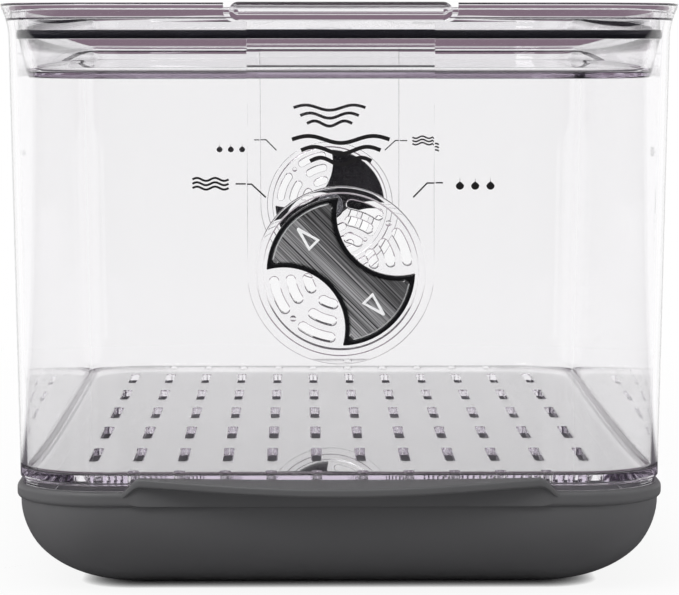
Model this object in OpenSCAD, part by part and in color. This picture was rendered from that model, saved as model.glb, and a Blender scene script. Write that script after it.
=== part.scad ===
// Produce keeper: a clear drafted bin with two turning air vents,
// a clear press-in lid with a seal, and a moulded base tray with a pull lip.
// Millimetres. The origin is the middle of the tray's flat bottom, +Z is up,
// and the front, with the pull lip and the lid's lift tab, faces -Y.

/* [Overall] */
// Width over the flared lip
lip_w = 200; // [180:1:240]
// Depth over the flared lip, front to back
lip_l = 322; // [280:1:380]
// Height of the bin, from the tray's rim to the top of the lip
bin_h = 141.5; // [125:0.1:180]
// Plan radius of the bin's corners
corner_r = 28; // [23:1:34]

/* [Bin] */
// Thickness of the bin's walls
wall = 2; // [1.6:0.1:2.6]
// Draft angle of the bin's walls
draft = 1.1; // [0.6:0.1:1.4]
// How far the lip flares outwards
lip_flare = 2.5; // [2:0.1:3.2]
// Height over which the lip flares
lip_h = 10.5; // [9:0.5:13]
// Thickness of the lip at its top edge
lip_wall = 1.4; // [1.1:0.1:1.6]
// Depth of the lid ledge below the top of the lip
ledge_drop = 4.3; // [3.5:0.1:5]
// Width of the lid ledge
ledge_w = 2; // [1.6:0.1:2.2]
// Thickness of the bin's floor
floor_t = 2.3; // [2:0.1:4]
// Height of the floor's underside above the tray's rim
floor_lift = 2.2; // [1:0.1:3]
// Fillet between the floor and the walls
floor_fillet = 1.5; // [1:0.5:3]
// Depth of the foot that stands inside the tray
foot_h = 7; // [5:0.5:10]
// Height of the open groove between the tray's rim and the bin's wall
seat_gap = 1.8; // [1:0.1:2.4]
// Depth of that groove behind the face of the wall
seat_step = 0.8; // [0.7:0.1:1.2]

/* [Drain slots] */
// Width of a drain slot
slot_w = 2.8; // [2:0.1:3.6]
// Length of a drain slot
slot_l = 30; // [20:1:36]
// Length of a short slot next to the front and back walls
edge_slot_l = 8; // [6:0.5:10]
// Distance between neighbouring slots across the bin
slot_pitch = 13.5; // [11:0.5:16]
// Distance between rows of slots
row_pitch = 53.5; // [48:0.5:60]
// Margin kept free between the slots and the walls
slot_margin = 10; // [8:0.5:14]

/* [Vent] */
// Depth of the vent's centre below the top of the lip
vent_drop = 76.9; // [62:0.1:84]
// Radius of the flat U-shaped pad that the vent stands on
pad_r = 27; // [26:0.5:30]
// How far the pad stands proud of the wall just below the lip
pad_proud = 1; // [0.6:0.1:1.4]
// Outer radius of the raised ring
ring_r = 24.5; // [24:0.1:25.5]
// Width of the raised ring
ring_w = 2.2; // [1.4:0.1:2.4]
// Height of the raised ring
ring_h = 1.6; // [1:0.1:2.4]
// Centre-line radius of the innermost arc slots
arc_r = 9.8; // [9.5:0.1:10.4]
// Distance between neighbouring arc slots
arc_pitch = 4.8; // [4.2:0.1:5]
// Width of an arc slot
arc_w = 2.6; // [1.8:0.1:2.8]
// Angle between a slot's tip and the edge of its quadrant
arc_edge_deg = 5; // [4:0.5:7]
// Angle between a slot's tip and the middle of its quadrant
arc_rib_deg = 7; // [5:0.5:9]
// Radius of a detent bump
detent_r = 0.9; // [0.6:0.1:1.2]
// Height of a detent bump
detent_h = 0.4; // [0.2:0.05:0.4]
// Radius of the inner boss round the hub
boss_r = 5.6; // [5.2:0.1:8]
// How far that boss stands into the bin
boss_h = 0.8; // [0.6:0.1:1.5]

/* [Shutter] */
// Radius of the bow-tie shutter
knob_r = 21.3; // [20.9:0.1:21.6]
// Width of its waist
knob_waist = 11.2; // [10.6:0.1:12]
// Half the angle that one blade spans
blade_half_deg = 43.5; // [42:0.5:44.5]
// Thickness of the shutter
knob_t = 3; // [2.6:0.1:4]
// Gap between the shutter and the pad
knob_gap = 0.5; // [0.45:0.05:0.8]
// Width of the black rim round the metal face
knob_rim = 1.2; // [0.9:0.1:1.5]
// Depth of the pocket that holds the metal face
pocket_d = 1.2; // [1:0.1:1.4]
// Thickness of the metal face
plate_t = 0.8; // [0.5:0.1:0.9]
// Gap round the metal face
plate_gap = 0.1; // [0.05:0.05:0.2]
// Height of the raised triangles
mark_h = 0.3; // [0.2:0.05:0.4]
// Width of the triangles' lines
mark_line = 1; // [0.7:0.1:1.2]
// Radius of the hub
hub_r = 4; // [3.6:0.1:4.4]
// Radial running clearance of the hub in its bore
hub_fit = 0.05; // [0.02:0.01:0.1]
// Gap between the washer and the inner boss
washer_gap = 0.2; // [0.1:0.05:0.4]
// Radius of the washer
washer_r = 5; // [4.8:0.1:7]
// Thickness of the washer
washer_t = 1; // [0.8:0.1:1.5]
// Radius of the screw's shank
screw_r = 1.5; // [1.2:0.1:1.8]
// Length of the screw in the hub
screw_l = 6; // [4:0.5:6.5]
// Radius of the screw's head
screw_head_r = 3.2; // [2.8:0.1:3.8]
// Height of the screw's head
screw_head_h = 1.8; // [1.4:0.1:2.2]

/* [Lid] */
// Gap between the lid's flange and the lip
lid_gap = 0.4; // [0.3:0.05:0.6]
// Thickness of the lid's flange
flange_t = 3; // [2.4:0.1:3.2]
// Gap between the lid's skirt and the bin's wall
skirt_gap = 0.9; // [0.7:0.1:1.2]
// Thickness of the lid's skirt
skirt_wall = 2.2; // [1.9:0.1:2.6]
// Depth of the lid below its flange
lid_depth = 17.5; // [15:0.1:24]
// Taper of the skirt below the seal, in degrees
skirt_taper = 15; // [10:1:18]
// Fillet at the skirt's lower edge
skirt_fillet = 1.2; // [0.8:0.1:2.5]
// Thickness of the lid's sunk floor
lid_floor_t = 2; // [1.6:0.1:2.6]
// Width of the lift tab
tab_w = 64; // [50:1:80]
// Height of the lift tab
tab_h = 5.3; // [4.8:0.1:5.8]
// How far the lift tab stands above the lip
tab_rise = 0.2; // [0:0.1:1]
// Thickness of the lift tab
tab_t = 2.2; // [1.8:0.1:2.6]
// Gap below and behind the lift tab in its notch
tab_gap = 0.4; // [0.3:0.05:0.6]
// Gap at each end of the lift tab in its notch
tab_end_gap = 1.6; // [0.6:0.1:2]

/* [Seal] */
// Height of the seal
seal_h = 2.6; // [2:0.1:3]
// Depth of the seal's top below the lid ledge
seal_drop = 3.4; // [3:0.1:5]
// Depth of the seal's groove in the skirt
groove_d = 1; // [0.7:0.1:1.1]
// Gap between the seal and the bin's wall
seal_gap = 0.3; // [0.25:0.05:0.4]

/* [Base tray] */
// Height of the tray's rim
rim_h = 31.2; // [28:0.1:38]
// Distance of the tray's body inside the lip's outline
tray_inset = 5.1; // [4.5:0.1:5.5]
// How far the bead round the rim stands out
bead_out = 1.1; // [0.6:0.1:1.5]
// Height of the bead round the rim
bead_h = 4.3; // [3.5:0.1:5]
// Height over which the bead rounds in at its top and at its bottom
bead_round = 1.4; // [1:0.1:1.7]
// Thickness of the tray's walls
tray_wall = 2; // [1.6:0.1:2.2]
// Thickness of the tray's floor
tray_floor = 2.5; // [2:0.1:3.5]
// Height of the rounded lower corner
curve_h = 26.5; // [20:0.5:28]
// Width of the rounded lower corner
curve_w = 33; // [22:0.5:36]
// Gap between the bin's foot and the tray's rim
foot_gap = 0.5; // [0.3:0.05:0.8]

/* [Pull lip] */
// Width of the pull lip
grip_w = 130; // [100:1:134]
// How far the pull lip rises above the rim
grip_rise = 4.4; // [2:0.1:5]
// How far the pull lip reaches forward of the bead
grip_out = 10; // [6:0.5:14]
// Thickness of the pull lip at its front edge
grip_t = 2.3; // [1.8:0.1:3]
// Width over which each end of the pull lip rises
grip_end = 7; // [5:0.5:10]
// How far the pull lip's top sags in the middle
grip_sag = 0.75; // [0:0.05:1.2]
// How far its front edge droops below its back edge in the middle
grip_droop = 1.35; // [0:0.05:2]
// Rounding of its front edge
grip_round = 0.7; // [0.4:0.1:0.8]
// Gap between the pull lip and the bin's wall
grip_gap = 0.35; // [0.3:0.05:0.6]

/* [Hidden] */
$fn = 64;
// Facets of each rounded plan corner, and steps of a fillet or curve
corner_n = 14;
curve_n = 9;
fillet_n = 4;
flare_n = 4;
bead_n = 3;
grip_n = 14;
over = 1;
// Share by which a round slot tip is wider than its slot, so that their edges cross
tip_grow = 0.01;
lip_z = rim_h + bin_h;
flare_z = lip_z - lip_h;
ledge_z = lip_z - ledge_drop;
floor_under = rim_h + floor_lift;
floor_z = floor_under + floor_t;
vent_z = lip_z - vent_drop;
edge_round = 0.6;
// Chamfer on both edges of the raised ring
ring_edge = 0.35;
// Fillet round the bottom of the lid's dish
dish_fillet = 1.5;
// Free space round a detent bump in the shutter
detent_gap = 0.4;
// Distance of the short slots from the floor's fillet
edge_slot_gap = 2.5;
// Height of the curve at the tray's foot, always below the bead
curve_top = min(curve_h, rim_h - bead_h - 0.4);
bead_low = rim_h - bead_h;
// How deep the pull lip's ends sink into the bead, and how far its middle stands off
grip_sink = 0.5;
grip_stand = 0.4;
plan_r = corner_r + lip_flare;
plan_knee = -10;
plan_soft = 0.45;
tray_off = -tray_inset;
rim_in = tray_off - tray_wall;
foot_off = rim_in - foot_gap;
foot_draft = 0.3;
pad_y = lip_l / 2 - lip_flare + pad_proud;
vent_wall = pad_y - lip_l / 2 - inner(vent_z);
hub_end = vent_wall + boss_h + washer_gap;
side_r = blade_side_centre(knob_r, knob_waist / 2, 90 - blade_half_deg);
blade_axis = 135;
// Outer tip, length and width of a raised triangle
mark_r = knob_r - 3.6;
mark_l = 7;
mark_w = 4.5;
// Width, length and depth of the cross recess in a screw's head
drive_w = 0.9;
drive_l = 1.2 * screw_head_r;
drive_d = screw_head_h / 2;
skirt_off = inner(ledge_z) - skirt_gap;
seal_top = ledge_z - seal_drop;
seal_low = seal_top - seal_h;
lid_low = ledge_z - lid_depth;
skirt_low = skirt_off - (seal_low - lid_low - skirt_fillet) * tan(skirt_taper);
lid_floor_z = lid_low + lid_floor_t;
groove_off = skirt_off - groove_d;
tab_low = lip_z + tab_rise - tab_h;

// Offset of the bin's outer face from the lip's outline at a height
function outer(z) = z < flare_z
    ? -lip_flare - tan(draft) * (flare_z - z)
    : -lip_flare + lip_flare * pow((z - flare_z) / (lip_h - edge_round), 2);

// Offset of the bin's inner face below the ledge
function inner(z) = -lip_flare - tan(draft) * (flare_z - z) - wall;

// Plan corner radius that belongs to an offset
function corner(off) = max(1, off > plan_knee
    ? plan_r + off
    : plan_r + plan_knee + plan_soft * (off - plan_knee));

// One rounded rectangle, offset from the lip's outline, at a height
function ring(off, z) = let (r = corner(off), x = lip_w / 2 + off - r, y = lip_l / 2 + off - r) [
    for (q = [0:3], i = [0:corner_n])
        let (a = 90 * (q + i / corner_n))
        [(q == 0 || q == 3 ? x : -x) + r * cos(a), (q < 2 ? y : -y) + r * sin(a), z]
];

// Distance of the circle that hollows a blade's side, from three points on it
function blade_side_centre(r, w, a) = (r * r - w * w) / (2 * (r * cos(a) - w));

// Closed solid through a stack of sections with equal numbers of points
module loft(sections) {
    m = len(sections[0]);
    n = len(sections);
    polyhedron(
        points = [for (s = sections, p = s) p],
        faces = concat(
            [[for (i = [0:m - 1]) i]],
            [for (k = [0:n - 2], i = [0:m - 1])
                let (j = (i + 1) % m)
                [k * m + i, (k + 1) * m + i, (k + 1) * m + j, k * m + j]],
            [[for (i = [0:m - 1]) n * m - 1 - i]]
        )
    );
}

// Stack of rounded rectangles, each given as offset and height
module stack(profile) {
    loft([for (p = profile) ring(p[0], p[1])]);
}

// Puts a shape on the front vent (side 0) or the back vent (side 1), facing outwards
module at_vent(side) {
    rotate([0, 0, 180 * side])
        translate([0, -pad_y, vent_z])
            rotate([90, 0, 0])
                children();
}

// Arc slot with round ends; the angles are those of its tips
module arc_slot(r, a0, a1) {
    tip = asin(arc_w / 2 / r);
    b0 = a0 + tip;
    b1 = a1 - tip;
    far = 2 * knob_r;
    intersection() {
        difference() {
            circle(r + arc_w / 2);
            circle(r - arc_w / 2);
        }
        polygon([[0, 0], far * [cos(b0), sin(b0)], far * [cos(b1), sin(b1)]]);
    }
    for (b = [b0, b1])
        translate(r * [cos(b), sin(b)])
            circle(arc_w / 2 * (1 + tip_grow), $fn = 24);
}

// Both groups of three arcs in two opposite quadrants
module vent_slots() {
    for (q = [0, 180], half = [0, 1], k = [0:2])
        rotate(q + 45 * half)
            arc_slot(
                arc_r + k * arc_pitch,
                half == 0 ? arc_edge_deg : arc_rib_deg,
                45 - (half == 0 ? arc_rib_deg : arc_edge_deg)
            );
}

// The U-shaped pad seen from the front, up to where the lip overtakes it
module pad_outline() {
    circle(pad_r, $fn = 96);
    translate([-pad_r, 0])
        square([2 * pad_r, ledge_z - vent_z]);
}

// Straight drain slot with round ends
module drain_slot(l) {
    square([slot_w, l - slot_w], center = true);
    for (s = [-1, 1])
        translate([0, s * (l - slot_w) / 2])
            circle(slot_w / 2 * (1 + tip_grow), $fn = 24);
}

// All drain slots in plan
module drain_pattern() {
    half_x = lip_w / 2 + inner(floor_z) - slot_margin;
    half_y = lip_l / 2 + inner(floor_z) - slot_margin;
    cols = floor((half_x - slot_w / 2) / slot_pitch + 0.5);
    rows = floor((half_y - edge_slot_l - slot_l / 2) / row_pitch);
    edge_y = half_y + slot_margin - floor_fillet - edge_slot_gap - edge_slot_l / 2;
    for (c = [0:cols - 1], s = [-1, 1])
        translate([s * (c + 0.5) * slot_pitch, 0]) {
            for (r = [-rows:rows])
                translate([0, r * row_pitch])
                    drain_slot(slot_l);
            if (c < cols - 1)
                for (e = [-1, 1])
                    translate([0, e * edge_y])
                        drain_slot(edge_slot_l);
        }
}

// Outside of the bin: foot, seat on the rim, groove, drafted walls and flared lip
module bin_outside() {
    wall_low = rim_h + seat_gap;
    stack(concat(
        [[foot_off - foot_draft, rim_h - foot_h], [foot_off, rim_h]],
        [[outer(rim_h) - seat_step, rim_h], [outer(wall_low) - seat_step, wall_low]],
        [[outer(wall_low) - edge_round, wall_low]],
        [[outer(wall_low + edge_round), wall_low + edge_round]],
        [for (i = [0:flare_n - 1])
            let (z = flare_z + i / flare_n * (lip_h - edge_round))
            [outer(z), z]],
        [[0, lip_z - edge_round], [-edge_round / 2, lip_z]]
    ));
}

// Inside of the bin: filleted floor, walls, ledge and lip
module bin_inside() {
    ledge_out = inner(ledge_z) + ledge_w;
    stack(concat(
        [for (i = [0:fillet_n])
            let (a = 90 * i / fillet_n, z = floor_z + floor_fillet * (1 - cos(a)))
            [inner(z) - floor_fillet * (1 - sin(a)), z]],
        [[inner(ledge_z), ledge_z], [ledge_out, ledge_z]],
        [[-lip_wall, lip_z], [-lip_wall, lip_z + over]]
    ));
}

// Hollow under the bin's floor, inside its foot
module foot_inside() {
    stack([
        [foot_off - foot_draft - wall, rim_h - foot_h - over],
        [foot_off - foot_draft - wall, floor_under]
    ]);
}

// Lift tab's outline seen from the front, grown by a gap and by another at its ends
module tab_outline(gap, end_gap) {
    r = tab_h / 2 + gap;
    half = tab_w / 2 + end_gap - r;
    square([2 * half, 2 * r], center = true);
    for (s = [-1, 1])
        translate([s * half, 0])
            circle(r);
}

// Notch in the front of the lip for the lift tab, open at the top
module tab_notch() {
    depth = tab_t + tab_gap;
    translate([0, -lip_l / 2 + depth, tab_low + tab_h / 2])
        rotate([90, 0, 0])
            linear_extrude(depth + 2 * over) {
                tab_outline(tab_gap, tab_end_gap);
                translate([-tab_w / 2 - tab_end_gap, 0])
                    square([tab_w + 2 * tab_end_gap, tab_h]);
            }
}

// Half section of the raised ring, with chamfered edges and its root in the pad
module ring_section() {
    r = ring_r - ring_w;
    polygon([
        [r, -ring_edge], [ring_r, -ring_edge], [ring_r, ring_h - ring_edge],
        [ring_r - ring_edge, ring_h], [r + ring_edge, ring_h], [r, ring_h - ring_edge]
    ]);
}

module bin() {
    color([0.86, 0.88, 0.93, 0.35])
        difference() {
            union() {
                difference() {
                    union() {
                        bin_outside();
                        for (side = [0, 1])
                            at_vent(side)
                                translate([0, 0, -vent_wall - over])
                                    linear_extrude(vent_wall + over)
                                        pad_outline();
                    }
                    bin_inside();
                }
                for (side = [0, 1])
                    at_vent(side) {
                        rotate_extrude($fn = 96)
                            ring_section();
                        translate([0, 0, -vent_wall - boss_h])
                            cylinder(r = boss_r, h = vent_wall);
                        for (a = [45, 225])
                            rotate([0, 0, a])
                                translate([arc_r + 2 * arc_pitch, 0, -over])
                                    cylinder(r = detent_r, h = detent_h + over, $fn = 24);
                    }
            }
            foot_inside();
            translate([0, 0, floor_under - over])
                linear_extrude(floor_t + 2 * over)
                    drain_pattern();
            for (side = [0, 1])
                at_vent(side)
                    translate([0, 0, -vent_wall - 2 * over])
                        linear_extrude(vent_wall + 3 * over) {
                            vent_slots();
                            circle(hub_r + hub_fit);
                        }
            tab_notch();
        }
}

// Bow-tie outline, pulled in by an inset
module bow_tie(inset) {
    difference() {
        circle(knob_r - inset, $fn = 96);
        for (a = [-90, 90])
            rotate(blade_axis + a)
                translate([side_r, 0])
                    circle(side_r - knob_waist / 2 + inset, $fn = 96);
    }
}

module knob(side) {
    color([0.07, 0.07, 0.08])
        at_vent(side)
            difference() {
                union() {
                    translate([0, 0, knob_gap])
                        linear_extrude(knob_t)
                            bow_tie(0);
                    translate([0, 0, -hub_end])
                        cylinder(r = hub_r, h = hub_end + knob_gap + over);
                }
                translate([0, 0, knob_gap + knob_t - pocket_d])
                    linear_extrude(pocket_d + over)
                        bow_tie(knob_rim);
                for (a = [0, 180])
                    rotate([0, 0, blade_axis + a])
                        translate([arc_r + 2 * arc_pitch, 0, knob_gap - over])
                            cylinder(r = detent_r + detent_gap, h = over + detent_h, $fn = 24);
                translate([0, 0, -hub_end - over])
                    cylinder(r = screw_r, h = screw_l + over);
            }
}

// Hollow triangle that points outwards along a blade
module mark() {
    base = mark_r - mark_l;
    half = mark_w / 2;
    lean = atan(half / mark_l);
    half_in = half - mark_line * (tan(lean) + 1 / cos(lean));
    polygon(
        points = [
            [mark_r, 0], [base, half], [base, -half],
            [mark_r - mark_line / sin(lean), 0],
            [base + mark_line, half_in], [base + mark_line, -half_in]
        ],
        paths = [[0, 1, 2], [3, 4, 5]]
    );
}

module knob_plate(side) {
    color([0.55, 0.55, 0.57])
        at_vent(side)
            translate([0, 0, knob_gap + knob_t - pocket_d]) {
                linear_extrude(plate_t)
                    bow_tie(knob_rim + plate_gap);
                for (a = [0, 180])
                    rotate([0, 0, blade_axis + a])
                        linear_extrude(plate_t + mark_h)
                            mark();
            }
}

module vent_washer(side) {
    color([0.75, 0.76, 0.78])
        at_vent(side)
            translate([0, 0, -hub_end - washer_t])
                difference() {
                    cylinder(r = washer_r, h = washer_t);
                    translate([0, 0, -over])
                        cylinder(r = screw_r, h = washer_t + 2 * over);
                }
}

module vent_screw(side) {
    color([0.75, 0.76, 0.78])
        at_vent(side)
            translate([0, 0, -hub_end - washer_t])
                difference() {
                    union() {
                        cylinder(r = screw_r, h = washer_t + screw_l);
                        translate([0, 0, -screw_head_h])
                            cylinder(r = screw_head_r, h = screw_head_h);
                    }
                    for (a = [0, 90])
                        rotate([0, 0, a])
                            translate([-drive_l / 2, -drive_w / 2, -screw_head_h - over])
                                cube([drive_l, drive_w, over + drive_d]);
                }
}

// Outside of the lid: filleted bottom, tapered skirt and flange
module lid_outside() {
    flange_off = inner(ledge_z) + ledge_w - lid_gap;
    stack(concat(
        [for (i = [0:fillet_n])
            let (a = 90 * i / fillet_n)
            [skirt_low - skirt_fillet * (1 - sin(a)), lid_low + skirt_fillet * (1 - cos(a))]],
        [[skirt_off, seal_low], [skirt_off, ledge_z]],
        [[flange_off, ledge_z], [flange_off, ledge_z + flange_t - edge_round]],
        [[flange_off - edge_round / 2, ledge_z + flange_t]]
    ));
}

// Dish of the lid
module lid_inside() {
    low = skirt_low - skirt_wall;
    stack(concat(
        [for (i = [0:fillet_n])
            let (a = 90 * i / fillet_n)
            [low - dish_fillet * (1 - sin(a)), lid_floor_z + dish_fillet * (1 - cos(a))]],
        [[skirt_off - skirt_wall, seal_low], [skirt_off - skirt_wall, ledge_z + flange_t + over]]
    ));
}

// Ring between two offsets and two heights
module band(off_in, off_out, z0, z1) {
    difference() {
        stack([[off_out, z0], [off_out, z1]]);
        stack([[off_in, z0 - over], [off_in, z1 + over]]);
    }
}

module lid() {
    web_y = -lip_l / 2 + tab_t / 2;
    web_l = tab_t / 2 - inner(ledge_z) - ledge_w + lid_gap;
    color([0.86, 0.88, 0.93, 0.35])
        difference() {
            union() {
                lid_outside();
                translate([0, -lip_l / 2 + tab_t, tab_low + tab_h / 2])
                    rotate([90, 0, 0])
                        linear_extrude(tab_t)
                            tab_outline(0, 0);
                translate([-(tab_w - tab_h) / 2, web_y, ledge_z])
                    cube([tab_w - tab_h, web_l, flange_t - edge_round]);
            }
            lid_inside();
            band(groove_off, skirt_off + over, seal_low, seal_top);
        }
}

module lid_seal() {
    color([0.06, 0.06, 0.1])
        band(groove_off, inner(seal_low) - seal_gap, seal_low, seal_top);
}

// Outside of the tray: flat bottom, rounded corner and bead
module tray_outside() {
    stack(concat(
        [for (i = [0:curve_n])
            let (a = 90 * i / curve_n)
            [tray_off - curve_w * (1 - sin(a)), curve_top * (1 - cos(a))]],
        [for (i = [0:bead_n])
            let (a = 90 * i / bead_n)
            [tray_off + bead_out * sin(a), bead_low + bead_round * (1 - cos(a))]],
        [for (i = [bead_n:-1:0])
            let (a = 90 * i / bead_n)
            [tray_off + bead_out * sin(a), rim_h - bead_round * (1 - cos(a))]]
    ));
}

// Inside of the tray
module tray_inside() {
    stack(concat(
        [for (i = [0:curve_n])
            let (a = 90 * i / curve_n)
            [rim_in - curve_w * (1 - sin(a)), tray_floor + (curve_top - tray_floor) * (1 - cos(a))]],
        [[rim_in, rim_h + over]]
    ));
}

// One upright section of the pull lip at a distance x from its middle;
// u falls from 1 in the middle to 0 at the ends, s only falls near the ends,
// where the section shrinks and sinks into the bead
function grip_section(x) = let (
    u = 1 - pow(2 * x / grip_w, 2),
    t = min(1, (grip_w / 2 - abs(x)) / grip_end),
    s = t * t * (3 - 2 * t),
    round = grip_round * (1 + s) / 2,
    bead_y = -lip_l / 2 + tray_inset - bead_out + grip_sink * (1 - s) - grip_stand * s,
    back_y = -lip_l / 2 - outer(rim_h + grip_rise) - grip_gap + grip_sink * (1 - s),
    front_y = bead_y - grip_out * u,
    top_z = rim_h - 2 * grip_sink * (1 - s) + grip_rise * s - grip_sag * u,
    front_z = top_z - grip_droop * u * u,
    low_z = front_z - grip_t * (1 + s) / 2,
    foot_z = bead_low + bead_round * (1 - s) + grip_stand / 2 * s
) [
    [x, back_y, top_z],
    [x, front_y + round, front_z],
    [x, front_y, front_z - round],
    [x, front_y, low_z + round / 2],
    [x, front_y + round, low_z],
    [x, bead_y - grip_out / 8 * u, low_z - round],
    [x, bead_y, foot_z],
    [x, bead_y + bead_out, foot_z],
    [x, back_y + grip_gap, foot_z + round]
];

module pull_lip() {
    loft([for (i = [-grip_n:grip_n]) grip_section(grip_w / 2 * sin(90 * i / grip_n))]);
}

module base_tray() {
    color([0.3, 0.3, 0.31])
        difference() {
            union() {
                tray_outside();
                pull_lip();
            }
            tray_inside();
        }
}

module front_knob() { knob(0); }
module front_knob_plate() { knob_plate(0); }
module front_vent_washer() { vent_washer(0); }
module front_vent_screw() { vent_screw(0); }
module back_knob() { knob(1); }
module back_knob_plate() { knob_plate(1); }
module back_vent_washer() { vent_washer(1); }
module back_vent_screw() { vent_screw(1); }

base_tray();
bin();
lid();
lid_seal();
front_knob();
front_knob_plate();
front_vent_washer();
front_vent_screw();
back_knob();
back_knob_plate();
back_vent_washer();
back_vent_screw();
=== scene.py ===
"""Looks of the produce keeper: clear bin and lid, matte base tray, brushed vent shutters.

Lengths in the helpers are millimetres in the part's own frame; meshes are made in metres.
"""

import math

import bmesh
import bpy
import numpy as np
from mathutils import Matrix, Vector

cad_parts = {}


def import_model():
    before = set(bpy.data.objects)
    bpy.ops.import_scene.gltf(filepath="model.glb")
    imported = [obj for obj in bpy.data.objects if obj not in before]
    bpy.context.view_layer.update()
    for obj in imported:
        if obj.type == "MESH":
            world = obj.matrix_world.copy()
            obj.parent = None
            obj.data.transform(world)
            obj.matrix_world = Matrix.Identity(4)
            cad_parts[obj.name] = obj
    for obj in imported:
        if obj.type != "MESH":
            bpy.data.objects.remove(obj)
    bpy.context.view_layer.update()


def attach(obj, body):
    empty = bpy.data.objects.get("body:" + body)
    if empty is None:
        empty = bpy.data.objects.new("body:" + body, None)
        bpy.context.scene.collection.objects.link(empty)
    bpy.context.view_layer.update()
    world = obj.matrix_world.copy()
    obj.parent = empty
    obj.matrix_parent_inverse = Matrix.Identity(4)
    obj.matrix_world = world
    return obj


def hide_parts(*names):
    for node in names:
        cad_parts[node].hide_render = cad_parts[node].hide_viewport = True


MM = 0.001

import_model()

# Sizes, as in the CAD model, in mm
LIP_W, LIP_L, BIN_H = 200, 322, 141.5
CORNER_R, WALL, DRAFT = 28, 2, 1.1
LIP_FLARE, LIP_H, LIP_WALL = 2.5, 10.5, 1.4
LEDGE_DROP, LEDGE_W = 4.3, 2
FLOOR_T, FLOOR_LIFT, FLOOR_FILLET, FOOT_H = 2.3, 2.2, 1.5, 7
SEAT_GAP, SEAT_STEP = 1.8, 0.8
SLOT_W, SLOT_L, EDGE_SLOT_L, EDGE_SLOT_GAP = 2.8, 30, 8, 2.5
SLOT_PITCH, ROW_PITCH, SLOT_MARGIN = 13.5, 53.5, 10
VENT_DROP, PAD_R, PAD_PROUD = 76.9, 27, 1
RING_R, RING_W, RING_H = 24.5, 2.2, 1.6
ARC_R, ARC_PITCH, ARC_W, ARC_EDGE, ARC_RIB = 9.8, 4.8, 2.6, 5, 7
DETENT_R, DETENT_H, DETENT_GAP, BOSS_R, BOSS_H = 0.9, 0.4, 0.4, 5.6, 0.8
KNOB_R, KNOB_WAIST, BLADE_HALF, KNOB_T, KNOB_GAP = 21.3, 11.2, 43.5, 3, 0.5
KNOB_RIM, POCKET_D, PLATE_T, PLATE_GAP = 1.2, 1.2, 0.8, 0.1
MARK_H, MARK_L, MARK_W, MARK_IN = 0.3, 7, 4.5, 3.6
HUB_R, HUB_FIT, WASHER_GAP = 4, 0.05, 0.2
WASHER_R, WASHER_T, SCREW_R, SCREW_L = 5, 1, 1.5, 6
SCREW_HEAD_R, SCREW_HEAD_H = 3.2, 1.8
LID_GAP, FLANGE_T, SKIRT_GAP, SKIRT_WALL = 0.4, 3, 0.9, 2.2
LID_DEPTH, SKIRT_TAPER, SKIRT_FILLET = 17.5, 15, 1.2
LID_FLOOR_T, DISH_FILLET = 2, 1.5
TAB_W, TAB_H, TAB_RISE, TAB_T, TAB_GAP, TAB_END_GAP = 64, 5.3, 0.2, 2.2, 0.4, 1.6
SEAL_H, SEAL_DROP, GROOVE_D, SEAL_GAP = 2.6, 3.4, 1, 0.3
RIM_H, TRAY_INSET, BEAD_OUT, BEAD_H, BEAD_ROUND = 31.2, 5.1, 1.1, 4.3, 1.4
TRAY_WALL, TRAY_FLOOR, CURVE_H, CURVE_W, FOOT_GAP = 2, 2.5, 26.5, 33, 0.5
GRIP_W, GRIP_RISE, GRIP_OUT, GRIP_T, GRIP_END = 130, 4.4, 10, 2.3, 7
GRIP_SAG, GRIP_DROOP, GRIP_ROUND, GRIP_GAP = 0.75, 1.35, 0.7, 0.35
GRIP_SINK, GRIP_STAND = 0.5, 0.4
EDGE = 0.6
PLAN_R, PLAN_KNEE, PLAN_SOFT = CORNER_R + LIP_FLARE, -10, 0.45
TRAY_OFF = -TRAY_INSET
RIM_IN = TRAY_OFF - TRAY_WALL
FOOT_OFF, FOOT_DRAFT = RIM_IN - FOOT_GAP, 0.3
LIP_Z = RIM_H + BIN_H
FLARE_Z, LEDGE_Z = LIP_Z - LIP_H, LIP_Z - LEDGE_DROP
FLOOR_UNDER = RIM_H + FLOOR_LIFT
FLOOR_Z = FLOOR_UNDER + FLOOR_T
VENT_Z = LIP_Z - VENT_DROP
BEAD_LOW = RIM_H - BEAD_H
SLOPE = math.tan(math.radians(DRAFT))

# Fine details that the CAD model leaves plain, in mm
LIP_BEVEL, LEDGE_CREASE, LEDGE_ROUND = 0.45, 0.25, 0.3
SEAT_ROUND, PAD_EDGE, RING_ROUND, BOSS_EDGE = 0.2, 0.3, 0.5, 0.3
DRAIN_MOUTH, ARC_MOUTH = 0.3, 0.25
BEND_IN, BEND_DROP = 0.86, 3.3
FLANGE_EDGE, DISH_EDGE, TAB_ROUND, TAB_BACK, SEAL_BULGE = 0.25, 0.4, 1.6, 0.35, 0.5
TRAY_MOUTH, TRAY_BREAK = 0.4, 0.12
GRIP_CREASE, GRIP_TUCK, GRIP_TUCK_R = 0.25, GRIP_OUT / 8, 0.9
KNOB_EDGE, POCKET_TIP, POCKET_EDGE = 0.25, 1.1, 0.4
KNOB_ROUND, KNOB_ROUND_FAR, KNOB_ROUND_NEAR = 0.55, 0.28, 0.08
FACE_TIP, CHAMFER_W, CHAMFER_H, HIGHLIGHT_ZONE = 1.0, 0.42, 0.3, 3
# where the painted shade on the brushed faces starts below their middle and where it is full above it
PAINTED_SHADE_BELOW, PAINTED_SHADE_ABOVE = 1, 7
MARK_LINE, MARK_TIP_R, MARK_ROUND, MARK_SINK, HOLLOW_SHARE = 0.7, 0.45, 0.08, 0.05, 0.82
WASHER_EDGE, HEAD_SIDE, HEAD_POWER = 0.15, 0.5, 0.7
CROSS_W, CROSS_SHARE, SCREW_FIT = 0.9, 0.6, 0.01
INK, INK_SINK, SEAL_FIT, DETENT_FOOT = 0.05, 0.02, 0.02, 0.02

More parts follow.
